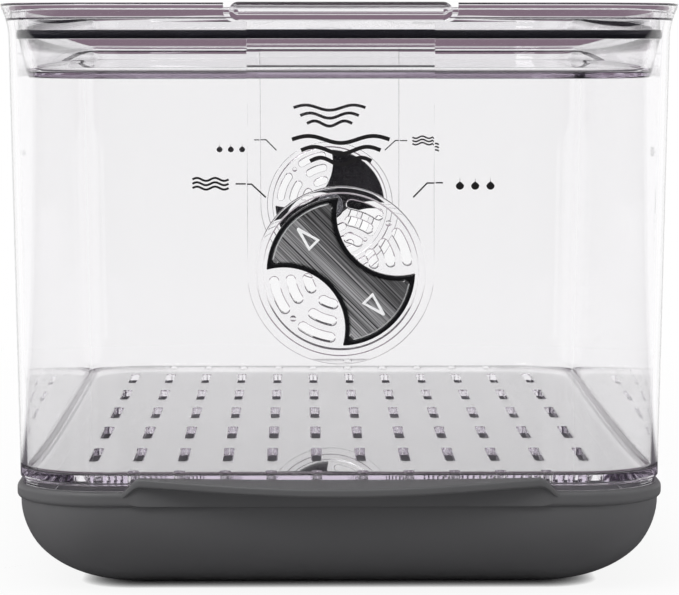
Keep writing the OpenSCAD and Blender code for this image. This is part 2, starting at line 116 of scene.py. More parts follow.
# How finely shapes are made: steps round a corner and up the flare, and the wall's first step in mm
CORNER_N, FLARE_N, WALL_STEP = 24, 10, 5
# How far shapes run past each other where they are joined or cut, in mm
OVER, CAP = 1, 20
# The least an edge is eased by, in mm, and how near points are when they count as one, in metres
EASE, MERGE = 0.1, 1e-7


def outer(z):
    """Offset of the bin's outer face from the lip's outline at a height."""
    if z < FLARE_Z:
        return -LIP_FLARE - SLOPE * (FLARE_Z - z)
    return -LIP_FLARE + LIP_FLARE * ((z - FLARE_Z) / (LIP_H - EDGE)) ** 2


def inner(z):
    """Offset of the bin's inner face below the ledge."""
    return -LIP_FLARE - SLOPE * (FLARE_Z - z) - WALL


def follow(z):
    """Offset of the bin's inner face where it follows the flare, so that the wall keeps its thickness."""
    return inner(z) + outer(z) + LIP_FLARE + SLOPE * (FLARE_Z - z)


PAD_Y = LIP_L / 2 - LIP_FLARE + PAD_PROUD
VENT_WALL = PAD_Y - LIP_L / 2 - inner(VENT_Z)
HUB_END = VENT_WALL + BOSS_H + WASHER_GAP
SEAL_TOP = LEDGE_Z - SEAL_DROP
SEAL_LOW = SEAL_TOP - SEAL_H
SKIRT_OFF = inner(LEDGE_Z) - SKIRT_GAP
LID_LOW = LEDGE_Z - LID_DEPTH
SKIRT_LOW = SKIRT_OFF - (SEAL_LOW - LID_LOW - SKIRT_FILLET) * math.tan(
    math.radians(SKIRT_TAPER)
)
LID_FLOOR_Z = LID_LOW + LID_FLOOR_T
LID_TOP = LEDGE_Z + FLANGE_T
GROOVE_OFF = SKIRT_OFF - GROOVE_D
TAB_MID = LIP_Z + TAB_RISE - TAB_H / 2
RIB_R = ARC_R + 2 * ARC_PITCH
BLADE_AXIS = math.radians(135)
MARK_LEAN = math.atan((MARK_W / 2 - MARK_TIP_R) / MARK_L)
FACE_Z = KNOB_GAP + KNOB_T - POCKET_D + PLATE_T


# Meshes
def corner(off):
    """Plan corner radius that belongs to an offset."""
    r = PLAN_R + off
    if off <= PLAN_KNEE:
        r = PLAN_R + PLAN_KNEE + PLAN_SOFT * (off - PLAN_KNEE)
    return max(1, r)


def ring(off, z):
    """Rounded rectangle, offset from the lip's outline, at a height."""
    r = corner(off)
    x, y = LIP_W / 2 + off - r, LIP_L / 2 + off - r
    points = []
    for q, (sx, sy) in enumerate(((1, 1), (-1, 1), (-1, -1), (1, -1))):
        for i in range(CORNER_N + 1):
            a = math.pi / 2 * (q + i / CORNER_N)
            points.append((sx * x + r * math.cos(a), sy * y + r * math.sin(a), z))
    return points


def loft(sections, closed=False):
    """Vertices and faces of a solid through sections with equal numbers of points."""
    m, n = len(sections[0]), len(sections)
    verts = [p for s in sections for p in s]
    spans = n if closed else n - 1
    faces = []
    for k in range(spans):
        a, b = k * m, (k + 1) % n * m
        for i in range(m):
            j = (i + 1) % m
            faces.append((a + i, a + j, b + j, b + i))
    if not closed:
        faces.append(tuple(reversed(range(m))))
        faces.append(tuple(range((n - 1) * m, n * m)))
    return verts, faces


def stack(profile):
    """Solid through rounded rectangles, each given as (offset, height)."""
    return loft([ring(off, z) for off, z in profile])


def solid(name, shape, place=None):
    """Mesh object in metres from vertices and faces in millimetres, facing outwards."""
    verts, faces = shape
    co = np.array(verts, float)
    if place is not None:
        co = np.array([place @ Vector(p) for p in co])
    mesh = bpy.data.meshes.new(name)
    mesh.from_pydata((co * MM).tolist(), [], faces)
    bm = bmesh.new()
    bm.from_mesh(mesh)
    bmesh.ops.recalc_face_normals(bm, faces=bm.faces)
    if bm.calc_volume(signed=True) < 0:
        bmesh.ops.reverse_faces(bm, faces=bm.faces)
    bm.to_mesh(mesh)
    bm.free()
    ob = bpy.data.objects.new(name, mesh)
    bpy.context.scene.collection.objects.link(ob)
    return ob


def combine(ob, others, operation):
    """Joins others to ob or cuts them from it, and removes them."""
    for other in others:
        m = ob.modifiers.new("combine", "BOOLEAN")
        m.operation, m.solver, m.object = operation, "MANIFOLD", other
        dg = bpy.context.evaluated_depsgraph_get()
        made = bpy.data.meshes.new_from_object(ob.evaluated_get(dg))
        ob.modifiers.remove(m)
        old, ob.data = ob.data, made
        gone = other.data
        bpy.data.objects.remove(other)
        for mesh in (old, gone):
            bpy.data.meshes.remove(mesh)
    return ob


def add(ob, *others):
    return combine(ob, others, "UNION")


def cut(ob, *others):
    return combine(ob, others, "DIFFERENCE")


def dress(ob, name, body, material, nodes=(), angle=30):
    """Names a finished piece, smooths it, gives it its material and sets it on its body."""
    ob.name = name
    ob.data.name = name
    mesh = ob.data
    mesh.materials.clear()
    mesh.materials.append(material)
    bm = bmesh.new()
    bm.from_mesh(mesh)
    bmesh.ops.remove_doubles(bm, verts=bm.verts, dist=MERGE)
    bmesh.ops.dissolve_degenerate(bm, edges=bm.edges, dist=MERGE)
    bm.to_mesh(mesh)
    bm.free()
    mesh.polygons.foreach_set("material_index", [0] * len(mesh.polygons))
    mesh.shade_smooth()
    mesh.set_sharp_from_angle(angle=math.radians(angle))
    m = ob.modifiers.new("flat faces stay flat", "WEIGHTED_NORMAL")
    m.keep_sharp = True
    m.weight = 50
    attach(ob, body)
    if nodes:
        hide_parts(*nodes)
    return ob


def at_vent(side):
    """Placement of a shape drawn facing outwards on the front (0) or back (1) vent."""
    return (
        Matrix.Rotation(math.pi * side, 4, "Z")
        @ Matrix.Translation((0, -PAD_Y, VENT_Z))
        @ Matrix.Rotation(math.pi / 2, 4, "X")
    )


def at_tab(depth):
    """Placement of a shape drawn facing outwards on the lift tab, from a depth behind the lip."""
    place = Matrix.Translation((0, -LIP_L / 2 + depth, TAB_MID))
    return place @ Matrix.Rotation(math.pi / 2, 4, "X")


def circle(r, n):
    """Round outline of n points."""
    return [(r * math.cos(t), r * math.sin(t)) for t in (2 * math.pi * i / n for i in range(n))]


def prism(levels):
    """Solid through flat outlines, each given with its height."""
    return loft([[(x, y, z) for x, y in outline] for outline, z in levels])


def revolve(profile, n=96):
    """Solid ring or disc from a closed profile of (radius, height) round the Z axis."""
    return loft(
        [
            [(r * math.cos(t), r * math.sin(t), z) for r, z in profile]
            for t in (2 * math.pi * i / n for i in range(n))
        ],
        closed=True,
    )


def disc(levels, n=96):
    """Solid through circles of (radius, height)."""
    return prism([(circle(r, n), z) for r, z in levels])


# Bin
def arc_outline(r, w, a0, a1, n_arc=14, n_tip=9):
    """Arc slot with round ends; a0 and a1 are the angles of its tips' centres."""
    pts = []
    for i in range(n_arc + 1):
        t = a0 + (a1 - a0) * i / n_arc
        pts.append(((r + w / 2) * math.cos(t), (r + w / 2) * math.sin(t)))
    for i in range(1, n_tip):
        t = a1 + math.pi * i / n_tip
        pts.append(
            (r * math.cos(a1) + w / 2 * math.cos(t), r * math.sin(a1) + w / 2 * math.sin(t))
        )
    for i in range(n_arc + 1):
        t = a1 + (a0 - a1) * i / n_arc
        pts.append(((r - w / 2) * math.cos(t), (r - w / 2) * math.sin(t)))
    for i in range(1, n_tip):
        t = a0 + math.pi + math.pi * i / n_tip
        pts.append(
            (r * math.cos(a0) + w / 2 * math.cos(t), r * math.sin(a0) + w / 2 * math.sin(t))
        )
    return pts


def vent_slots():
    """(radius, first tip, last tip) of every arc slot."""
    for quadrant in (0, 180):
        for half in (0, 1):
            for k in range(3):
                r = ARC_R + k * ARC_PITCH
                tip = math.degrees(math.asin(ARC_W / 2 / r))
                first = ARC_EDGE if half == 0 else ARC_RIB
                last = 45 - (ARC_RIB if half == 0 else ARC_EDGE)
                turn = quadrant + 45 * half
                yield r, *(math.radians(turn + a) for a in (first + tip, last - tip))


def pad_outline(inset, n=48):
    """U-shaped pad seen from the front, up to where the lip overtakes it."""
    r = PAD_R - inset
    top = LEDGE_Z - VENT_Z
    arc = [
        (r * math.cos(t), r * math.sin(t))
        for t in (math.pi + math.pi * i / n for i in range(n + 1))
    ]
    return arc + [(r, top), (-r, top)]


def stadium(w, h, n=12):
    """Upright slot outline with round ends, w wide and h high."""
    r, y = w / 2, (h - w) / 2
    return [
        (r * math.cos(t), (y if i <= n else -y) + r * math.sin(t))
        for i, t in (
            (i, math.pi * (i if i <= n else i - 1) / n) for i in range(2 * n + 2)
        )
    ]


def drain_centres():
    """(x, y, length) of every drain slot."""
    half_x = LIP_W / 2 + inner(FLOOR_Z) - SLOT_MARGIN
    half_y = LIP_L / 2 + inner(FLOOR_Z) - SLOT_MARGIN
    cols = math.floor((half_x - SLOT_W / 2) / SLOT_PITCH + 0.5)
    rows = math.floor((half_y - EDGE_SLOT_L - SLOT_L / 2) / ROW_PITCH)
    edge_y = half_y + SLOT_MARGIN - FLOOR_FILLET - EDGE_SLOT_GAP - EDGE_SLOT_L / 2
    for c in range(cols):
        for s in (-1, 1):
            x = s * (c + 0.5) * SLOT_PITCH
            for r in range(-rows, rows + 1):
                yield x, r * ROW_PITCH, SLOT_L
            if c < cols - 1:
                for e in (-1, 1):
                    yield x, e * edge_y, EDGE_SLOT_L


def joined(shapes):
    """Several separate shapes as one."""
    verts, faces = [], []
    for v, f in shapes:
        n = len(verts)
        verts += v
        faces += [tuple(i + n for i in face) for face in f]
    return verts, faces


def tab_outline(grow, end=None, n=16):
    """Lift tab seen from the front, grown by a distance and by another at its ends."""
    r = TAB_H / 2 + grow
    x = TAB_W / 2 + (grow if end is None else end) - r
    return [
        ((x if i <= n else -x) + r * math.cos(t), r * math.sin(t))
        for i, t in (
            (i, math.pi * (i if i <= n else i - 1) / n - math.pi / 2)
            for i in range(2 * n + 2)
        )
    ]


def rounded(points, steps=4):
    """Fine steps on an upward path of (offset, height) pairs, rounded where a third value is given."""
    out = []
    for i, p in enumerate(points):
        if len(p) < 3:
            out.append(tuple(p))
            continue
        here = Vector(p[:2])
        back = (Vector(points[i - 1][:2]) - here).normalized()
        ahead = (Vector(points[i + 1][:2]) - here).normalized()
        a, b = here + back * p[2], here + ahead * p[2]
        for k in range(steps + 1):
            t = k / steps
            out.append(tuple(a * (1 - t) ** 2 + here * 2 * t * (1 - t) + b * t**2))
    return out


def eased(edge):
    """(inset, depth) steps that take the sharpness off an edge, from its face down."""
    return [(edge, 0), (EASE, EASE), (0, edge)]


def quarter(n):
    """(sine, 1 - cosine) of n steps through a quarter turn."""
    turns = [math.pi / 2 * i / n for i in range(n + 1)]
    return [(math.sin(a), 1 - math.cos(a)) for a in turns]


def bin_outside():
    """The bin as a block: foot, seat on the tray's rim, walls and flared lip."""
    seat = RIM_H + SEAT_GAP
    flare = [FLARE_Z + i / FLARE_N * (LIP_H - EDGE) for i in range(FLARE_N)]
    path = [
        (FOOT_OFF - FOOT_DRAFT, RIM_H - FOOT_H),
        (FOOT_OFF, RIM_H),
        (outer(RIM_H) - SEAT_STEP, RIM_H),
        (outer(seat) - SEAT_STEP, seat, SEAT_ROUND),
        (outer(seat), seat, EDGE),
        (outer(seat + WALL_STEP), seat + WALL_STEP),
        *((outer(z), z) for z in flare),
        (0, LIP_Z, EDGE),
        (-LIP_WALL, LIP_Z),
    ]
    # the last point only gives the lip's top edge its direction
    return solid("bin", stack(rounded(path)[:-1]))


def bin_inside():
    """Room for the produce, the wall's inside along the flare, the lid's ledge and the lip."""
    path = [
        (inner(FLOOR_Z) - CAP, FLOOR_Z),
        (inner(FLOOR_Z), FLOOR_Z, FLOOR_FILLET),
        *((follow(FLARE_Z + i), FLARE_Z + i) for i in range(6)),
        (follow(LEDGE_Z), LEDGE_Z, LEDGE_CREASE),
        (inner(LEDGE_Z) + LEDGE_W, LEDGE_Z, LEDGE_ROUND),
        (-LIP_WALL, LIP_Z - LIP_BEVEL),
        (-LIP_WALL + LIP_BEVEL, LIP_Z),
        (-LIP_WALL + LIP_BEVEL + OVER, LIP_Z + OVER),
    ]
    return solid("inside", stack(rounded(path)))


def pad_solid(side):
    """Flat pad round a vent, standing into the wall behind it."""
    levels = [(pad_outline(0), -VENT_WALL - OVER)]
    levels += [(pad_outline(inset), -depth) for inset, depth in reversed(eased(PAD_EDGE))]
    return solid("pad", prism(levels), at_vent(side))


def vent_relief(side):
    """Raised ring, boss behind the wall and detents in the ribs of a vent."""
    place = at_vent(side)
    profile = [(RING_R - RING_W, -OVER), (RING_R, -OVER)]
    for middle, turn in ((RING_R - RING_ROUND, 0), (RING_R - RING_W + RING_ROUND, 90)):
        for i in range(6):
            t = math.radians(turn + 18 * i)
            profile.append(
                (middle + RING_ROUND * math.cos(t), RING_H - RING_ROUND + RING_ROUND * math.sin(t))
            )
    boss_end = -VENT_WALL - BOSS_H
    boss = [(BOSS_R - BOSS_EDGE, boss_end), (BOSS_R, boss_end + BOSS_EDGE), (BOSS_R, -OVER)]
    relief = [solid("ring", revolve(profile, 128), place), solid("boss", disc(boss), place)]
    dome = [(DETENT_R, -OVER), (DETENT_R, DETENT_FOOT)]
    for i in range(1, 6):
        t = math.radians(15 * i)
        z = DETENT_FOOT + (DETENT_H - DETENT_FOOT) * math.sin(t)
        dome.append((DETENT_R * math.cos(t), z))
    for turn in (45, 225):
        a = math.radians(turn)
        spot = Matrix.Translation((RIB_R * math.cos(a), RIB_R * math.sin(a), 0))
        relief.append(solid("detent", disc(dome, 32), place @ spot))
    return relief


def drain_slots():
    """All drain slots, with an eased mouth in the bin's floor."""
    depths = (
        (0, FLOOR_UNDER - OVER),
        (0, FLOOR_Z - DRAIN_MOUTH),
        (DRAIN_MOUTH, FLOOR_Z),
        (DRAIN_MOUTH + OVER / 2, FLOOR_Z + OVER / 2),
    )
    slots = []
    for x, y, l in drain_centres():
        levels = []
        for grow, z in depths:
            outline = stadium(SLOT_W + 2 * grow, l + 2 * grow)
            levels.append(([(x + u, y + v) for u, v in outline], z))
        slots.append(prism(levels))
    return solid("slots", joined(slots))


def vent_holes(side):
    """Arc slots with an eased mouth, and the hub's bore."""
    depths = ((0, -VENT_WALL - OVER), (0, -ARC_MOUTH), (ARC_MOUTH, 0), (2 * ARC_MOUTH, ARC_MOUTH))
    holes = []
    for r, a0, a1 in vent_slots():
        holes.append(prism([(arc_outline(r, ARC_W + 2 * g, a0, a1), z) for g, z in depths]))
    bore = HUB_R + HUB_FIT
    holes.append(disc([(bore, -VENT_WALL - BOSS_H - 2 * OVER), (bore, OVER)]))
    return solid("holes", joined(holes), at_vent(side))


def tab_notch():
    """Gap in the lip for the lid's lift tab, open at the top."""
    depth, end = TAB_T + TAB_GAP, TAB_W / 2 + TAB_END_GAP
    low = [p for p in tab_outline(TAB_GAP, TAB_END_GAP) if p[1] < 0]
    right = sorted((p for p in low if p[0] > 0), key=lambda p: p[1])
    left = sorted((p for p in low if p[0] < 0), key=lambda p: -p[1])
    outline = [(end, TAB_H), (-end, TAB_H), (-end, 0), *left, *right, (end, 0)]
    return solid("notch", prism([(outline, 0), (outline, depth + 2 * OVER)]), at_tab(depth))


def bin_solid():
    """The whole bin, with its seat, vents, drain slots and notch."""
    shell = bin_outside()
    add(shell, pad_solid(0), pad_solid(1))
    cut(shell, bin_inside())
    for side in (0, 1):
        add(shell, *vent_relief(side))
    foot_in = FOOT_OFF - FOOT_DRAFT - WALL
    foot = stack([(foot_in, RIM_H - FOOT_H - OVER), (foot_in, FLOOR_UNDER)])
    cut(shell, solid("foot", foot), drain_slots(), vent_holes(0), vent_holes(1), tab_notch())
    return shell


# Lid and seal
def lid_block():
    """The lid as a block: tapered skirt with its bend, and flange."""
    flange = inner(LEDGE_Z) + LEDGE_W - LID_GAP
    path = [
        (SKIRT_LOW - CAP, LID_LOW),
        (SKIRT_LOW, LID_LOW, SKIRT_FILLET),
        (SKIRT_OFF - BEND_IN, SEAL_LOW - BEND_DROP, EDGE),
        (SKIRT_OFF, SEAL_LOW),
        (SKIRT_OFF, LEDGE_Z),
        (flange, LEDGE_Z, FLANGE_EDGE),
        (flange, LID_TOP, EDGE),
        (SKIRT_OFF - SKIRT_WALL, LID_TOP),
    ]
    # the last point only gives the flange's top edge its direction
    return solid("lid", stack(rounded(path, 6)[:-1]))


def tab_solid():
    """Lift tab, with a rounded front edge."""
    levels = [(tab_outline(-inset), depth) for inset, depth in eased(TAB_BACK)]
    for i in range(6):
        t = math.radians(18 * i)
        inset, depth = TAB_ROUND * (1 - math.cos(t)), TAB_ROUND * (1 - math.sin(t))
        levels.append((tab_outline(-inset), TAB_T - depth))
    return solid("tab", prism(levels), at_tab(TAB_T))


def tab_web():
    """Strip that joins the lift tab to the flange."""
    half = (TAB_W - TAB_H) / 2
    front = -LIP_L / 2 + TAB_T / 2
    back = front + TAB_T / 2 - (inner(LEDGE_Z) + LEDGE_W - LID_GAP)
    outline = [(-half, front), (half, front), (half, back), (-half, back)]
    return solid("web", prism([(outline, LEDGE_Z), (outline, LID_TOP - EDGE)]))


def lid_dish():
    """The sunk room inside the skirt, down to the lid's floor."""
    low, side = SKIRT_LOW - SKIRT_WALL, SKIRT_OFF - SKIRT_WALL
    path = [
        (low - CAP, LID_FLOOR_Z),
        (low, LID_FLOOR_Z, DISH_FILLET),
        (side, SEAL_LOW),
        (side, LID_TOP, DISH_EDGE),
        (side + OVER, LID_TOP + OVER),
    ]
    return solid("dish", stack(rounded(path, 6)))


def seal_groove():
    """Groove round the skirt for the seal."""
    section = [
        (GROOVE_OFF, SEAL_LOW),
        (SKIRT_OFF + OVER, SEAL_LOW),
        (SKIRT_OFF + OVER, SEAL_TOP),
        (GROOVE_OFF, SEAL_TOP),
    ]
    return solid("groove", loft([ring(o, z) for o, z in section], closed=True))


def lid_solid():
    """The whole lid, with its tab, dish and groove."""
    body = lid_block()
    add(body, tab_solid(), tab_web())
    cut(body, lid_dish(), seal_groove())
    return body


def seal_solid():
    """Rubber ring in the groove, with a bulging outer face."""
    out = inner(SEAL_LOW) - SEAL_GAP
    half, middle = SEAL_H / 2 - SEAL_FIT, (SEAL_LOW + SEAL_TOP) / 2
    section = [(GROOVE_OFF, middle - half), (GROOVE_OFF, middle + half)]
    for i in range(11):
        t = math.radians(90 - 18 * i)
        section.append((out - SEAL_BULGE * (1 - math.cos(t)), middle + half * math.sin(t)))
    return solid("lid_seal", loft([ring(o, z) for o, z in section], closed=True))


# Base tray
def grip_section(x):
    """Upright section of the pull lip at a distance x from its middle."""
    # bow goes from 1 in the middle to 0 at the ends, and s from 1 to 0 over each end
    bow = 1 - (2 * x / GRIP_W) ** 2
    t = min(1, (GRIP_W / 2 - abs(x)) / GRIP_END)
    s = t * t * (3 - 2 * t)
    edge = GRIP_ROUND * (1 + s) / 2
    bead = -LIP_L / 2 + TRAY_INSET - BEAD_OUT + GRIP_SINK * (1 - s) - GRIP_STAND * s
    back = -LIP_L / 2 - outer(RIM_H + GRIP_RISE) - GRIP_GAP + GRIP_SINK * (1 - s)
    front = bead - GRIP_OUT * bow
    top = RIM_H - 2 * GRIP_SINK * (1 - s) + GRIP_RISE * s - GRIP_SAG * bow
    front_z = top - GRIP_DROOP * bow * bow
    low = front_z - GRIP_T * (1 + s) / 2
    foot = BEAD_LOW + BEAD_ROUND * (1 - s) + GRIP_STAND / 2 * s
    crease = GRIP_CREASE * s + EASE / 2
    points = rounded(
        [
            (back + GRIP_GAP, foot + edge),
            (back, top - crease),
            (back - crease, top),
            (front, front_z, edge),
            (front, low, edge),
            (bead - GRIP_TUCK * bow, low - edge, EASE + GRIP_TUCK_R * s * bow),
            (bead, foot, EASE),
            (bead + BEAD_OUT, foot),
        ]
    )
    return [(x, y, z) for y, z in points]


def tray_solid():
    """Curved tray with a bead round its rim and the pull lip in front."""
    curve = [(TRAY_OFF - CURVE_W * (1 - s), CURVE_H * v) for s, v in quarter(24)]
    bead = [(TRAY_OFF + BEAD_OUT * s, BEAD_ROUND * v) for s, v in quarter(8)]
    profile = curve + [(o, BEAD_LOW + z) for o, z in bead]
    profile += [(o, RIM_H - z) for o, z in reversed(bead)]
    body = solid("base_tray", stack(profile))
    n = 48
    xs = [GRIP_W / 2 * math.sin(math.pi / 2 * i / n) for i in range(-n, n + 1)]
    add(body, solid("grip", loft([grip_section(x) for x in xs])))
    depth = CURVE_H - TRAY_FLOOR
    hollow = [(RIM_IN - CURVE_W * (1 - s), TRAY_FLOOR + depth * v) for s, v in quarter(20)]
    hollow += [(RIM_IN, RIM_H - TRAY_MOUTH), (RIM_IN + TRAY_BREAK, RIM_H - TRAY_BREAK)]
    hollow += [(RIM_IN + TRAY_MOUTH, RIM_H), (RIM_IN + 2 * TRAY_MOUTH, RIM_H + TRAY_MOUTH)]
    return cut(body, solid("hollow", stack(hollow)))


# Vent shutter
def bow_tie(inset, fillet, n_out=36, n_side=40, n_tip=8):
    """Outline of the shutter with rounded tips, pulled in by an inset, along its blade axis."""
    # a waist arc's centre is (0, far), and a rounded tip's centre is (cx, cy)
    c = math.cos(math.radians(90 - BLADE_HALF))
    w = KNOB_WAIST / 2
    far = (KNOB_R**2 - w**2) / (2 * (KNOB_R * c - w))
    big, side = KNOB_R - inset, far - w + inset
    cy = ((big - fillet) ** 2 - (side + fillet) ** 2 + far**2) / (2 * far)
    cx = math.sqrt((big - fillet) ** 2 - cy**2)
    out_a = math.atan2(cy, cx)
    side_a = math.atan2(cy - far, cx)
    # from the blade's middle to the waist
    path = [
        (big * math.cos(out_a * i / n_out), big * math.sin(out_a * i / n_out))
        for i in range(n_out)
    ]
    turn = side_a + math.pi
    for i in range(n_tip + 1):
        t = out_a + (turn - out_a) * i / n_tip
        path.append((cx + fillet * math.cos(t), cy + fillet * math.sin(t)))
    for i in range(1, n_side + 1):
        t = side_a + (-math.pi / 2 - side_a) * i / n_side
        path.append((side * math.cos(t), far + side * math.sin(t)))
    half = path + [(-x, y) for x, y in reversed(path[1:-1])]
    half.append((-path[0][0], 0.0))
    return half + [(x, -y) for x, y in reversed(half[1:-1])]


def blade_place(side):
    """Placement of a shape drawn facing outwards with the blades along its X axis."""
    return at_vent(side) @ Matrix.Rotation(BLADE_AXIS, 4, "Z")


def bow_tie_solid(name, levels, side):
    """Solid through bow ties, each given as (inset, tip radius, height)."""
    return solid(name, prism([(bow_tie(i, r), z) for i, r, z in levels]), blade_place(side))


def knob_solid(side):
    """Shutter with a pocket for its face, a hub with a bore for the screw, and dimples."""
    top = KNOB_GAP + KNOB_T
    levels = [(KNOB_EDGE, KNOB_EDGE, KNOB_GAP), (0, KNOB_EDGE, KNOB_GAP + KNOB_EDGE)]
    arc = (0, KNOB_ROUND_NEAR, KNOB_ROUND_FAR, KNOB_ROUND)
    levels += [(inset, KNOB_EDGE, top - depth) for inset, depth in zip(arc, reversed(arc))]
    body = bow_tie_solid("knob", levels, side)
    pocket = [
        (KNOB_RIM, POCKET_TIP, top - POCKET_D),
        (KNOB_RIM, POCKET_TIP, top - POCKET_EDGE),
        (KNOB_RIM - KNOB_EDGE, POCKET_TIP, top),
        (KNOB_RIM - 2 * KNOB_EDGE, POCKET_TIP, top + POCKET_EDGE),
    ]
    cut(body, bow_tie_solid("pocket", pocket, side))
    hub = [
        (HUB_R - BOSS_EDGE, -HUB_END),
        (HUB_R, BOSS_EDGE - HUB_END),
        (HUB_R, KNOB_GAP + OVER),
    ]
    add(body, solid("hub", disc(hub, 64), at_vent(side)))
    bore = disc([(SCREW_R, -HUB_END - OVER), (SCREW_R, SCREW_L - HUB_END)], 32)
    cut(body, solid("bore", bore, at_vent(side)))
    r = DETENT_R + DETENT_GAP
    dimple = disc([(r, KNOB_GAP - OVER), (r, KNOB_GAP + DETENT_H)], 24)
    for turn in (0, math.pi):
        spot = Matrix.Rotation(turn, 4, "Z") @ Matrix.Translation((RIB_R, 0, 0))
        cut(body, solid("dimple", dimple, blade_place(side) @ spot))
    return body


def triangle(grow, n=5):
    """Outline of the raised triangle, grown by a distance, pointing along +X with a rounded tip."""
    half = MARK_W / 2
    tip = KNOB_R - MARK_IN - MARK_TIP_R
    base = KNOB_R - MARK_IN - MARK_L - grow
    r = MARK_TIP_R + grow
    points = [(base, -(half + grow))]
    for i in range(n + 1):
        t = (math.pi / 2 - MARK_LEAN) * (2 * i / n - 1)
        points.append((tip + r * math.cos(t), r * math.sin(t)))
    return points + [(base, half + grow)]


def inner_triangle(line):
    """Corners of the hollow in the raised triangle, a line's width in from its outline."""
    base = KNOB_R - MARK_IN - MARK_L + line
    half = MARK_W / 2 - line - line * math.tan(MARK_LEAN)
    length = half / math.tan(MARK_LEAN) * HOLLOW_SHARE
    return [(base, -half), (base + length, 0), (base, half)]


def plate_solid(side):
    """Metal face in the shutter's pocket, with a chamfer round its top."""
    gap = KNOB_RIM + PLATE_GAP
    levels = [
        (gap, FACE_TIP, FACE_Z - PLATE_T),
        (gap, FACE_TIP, FACE_Z - CHAMFER_H),
        (gap + CHAMFER_W, FACE_TIP - EASE, FACE_Z),
    ]
    return bow_tie_solid("plate", levels, side)


def paint_arc_highlights(face, material, side):
    """Gives the chamfer along the face's two outer arcs the near-white material, a painted highlight
    where these arcs catch the light.
    """
    face.data.materials.append(material)
    # painted highlight: only the slanted chamfer faces towards the blade ends, near the tips, turn
    # near-white
    back = blade_place(side).inverted()
    for polygon in face.data.polygons:
        centre = back @ (polygon.center / MM)
        normal = back.to_3x3() @ polygon.normal
        slanted, endward = 0.2 < normal.z < 0.95, abs(normal.x) > 0.4
        if slanted and endward and centre.to_2d().length > KNOB_R - HIGHLIGHT_ZONE:
            polygon.material_index = 1


def marks_solid(side):
    """Both raised triangles, standing a little into the face below them."""
    top = FACE_Z + MARK_H
    low = FACE_Z - MARK_H
    outside = [(0, FACE_Z - MARK_SINK), (0, top - MARK_ROUND), (-MARK_ROUND, top)]
    hollow = [(0, low), (0, top - MARK_ROUND), (MARK_ROUND, top), (2 * MARK_ROUND, top + MARK_ROUND)]
    marks = []
    for turn in (0, math.pi):
        place = blade_place(side) @ Matrix.Rotation(turn, 4, "Z")
        mark = solid("mark", prism([(triangle(g), z) for g, z in outside]), place)
        hole = prism([(inner_triangle(MARK_LINE - g), z) for g, z in hollow])
        marks.append(cut(mark, solid("hole", hole, place)))
    return add(*marks)


def washer_solid(side):
    """Flat washer on the end of the hub, inside the wall."""
    top, low, e = -HUB_END, -HUB_END - WASHER_T, WASHER_EDGE
    profile = [
        (SCREW_R, low),
        (WASHER_R - e, low),
        (WASHER_R, low + e),
        (WASHER_R, top - e),
        (WASHER_R - e, top),
        (SCREW_R, top),
    ]
    return solid("washer", revolve(profile, 64), at_vent(side))


def screw_solid(side):
    """Cross-head screw through the washer into the hub."""
    seat = -HUB_END - WASHER_T
    shoulder, dome = seat - HEAD_SIDE, SCREW_HEAD_H - HEAD_SIDE
    head = [(SCREW_HEAD_R, seat), (SCREW_HEAD_R, shoulder)]
    for i in range(1, 8):
        t = math.pi / 2 * i / 8
        head.append((SCREW_HEAD_R * math.cos(t) ** HEAD_POWER, shoulder - dome * math.sin(t)))
    body = solid("screw", disc(list(reversed(head)), 48), at_vent(side))
    r, end = SCREW_R - SCREW_FIT, seat + WASHER_T + SCREW_L
    shank = disc([(r, shoulder), (r, end)], 32)
    add(body, solid("shank", shank, at_vent(side)))
    l, w = SCREW_HEAD_R * CROSS_SHARE, CROSS_W / 2
    box = [(-l, -w), (l, -w), (l, w), (-l, w)]
    depths = (seat - SCREW_HEAD_H - OVER, seat - SCREW_HEAD_H / 2)
    for turn in (0, math.pi / 2):
        place = at_vent(side) @ Matrix.Rotation(turn, 4, "Z")
        cut(body, solid("cross", prism([(box, z) for z in depths]), place))
    return body


# Print on the walls
def stroke(points, width):
    """Outline of a line of even width through points, with square ends."""
    p = [Vector(q) for q in points]
    left, right = [], []
    for i, here in enumerate(p):
        d0 = (here - p[i - 1]).normalized() if i else None
        d1 = (p[i + 1] - here).normalized() if i < len(p) - 1 else None
        d = ((d0 or d1) + (d1 or d0)).normalized()
        n = Vector((-d.y, d.x))
        # in a bend the line's edge is at most twice as far out
        stretch = 1 / max(0.5, n.dot(Vector((-(d1 or d0).y, (d1 or d0).x))))
        left.append(tuple(here + n * width / 2 * stretch))
        right.append(tuple(here - n * width / 2 * stretch))
    return right + list(reversed(left))


def wave(x0, x1, z, height, turns=1.0, n=48):
    """Points of a wavy line from x0 to x1."""
    return [
        (x0 + (x1 - x0) * i / n, z + height * math.sin(2 * math.pi * turns * i / n))
        for i in range(n + 1)
    ]


def drop(x, z, h, n=28):
    """Outline of a water drop of height h standing at x, z."""
    round_share, point = 0.31, 0.35
    r = h * round_share
    points = []
    for i in range(n):
        t = 2 * math.pi * i / n
        narrow = (1 - math.sin(t)) ** point if math.sin(t) > 0 else 1
        rise = h - r if i == n // 4 else r
        points.append((x + r * narrow * math.cos(t), z + r + rise * math.sin(t)))
    return points


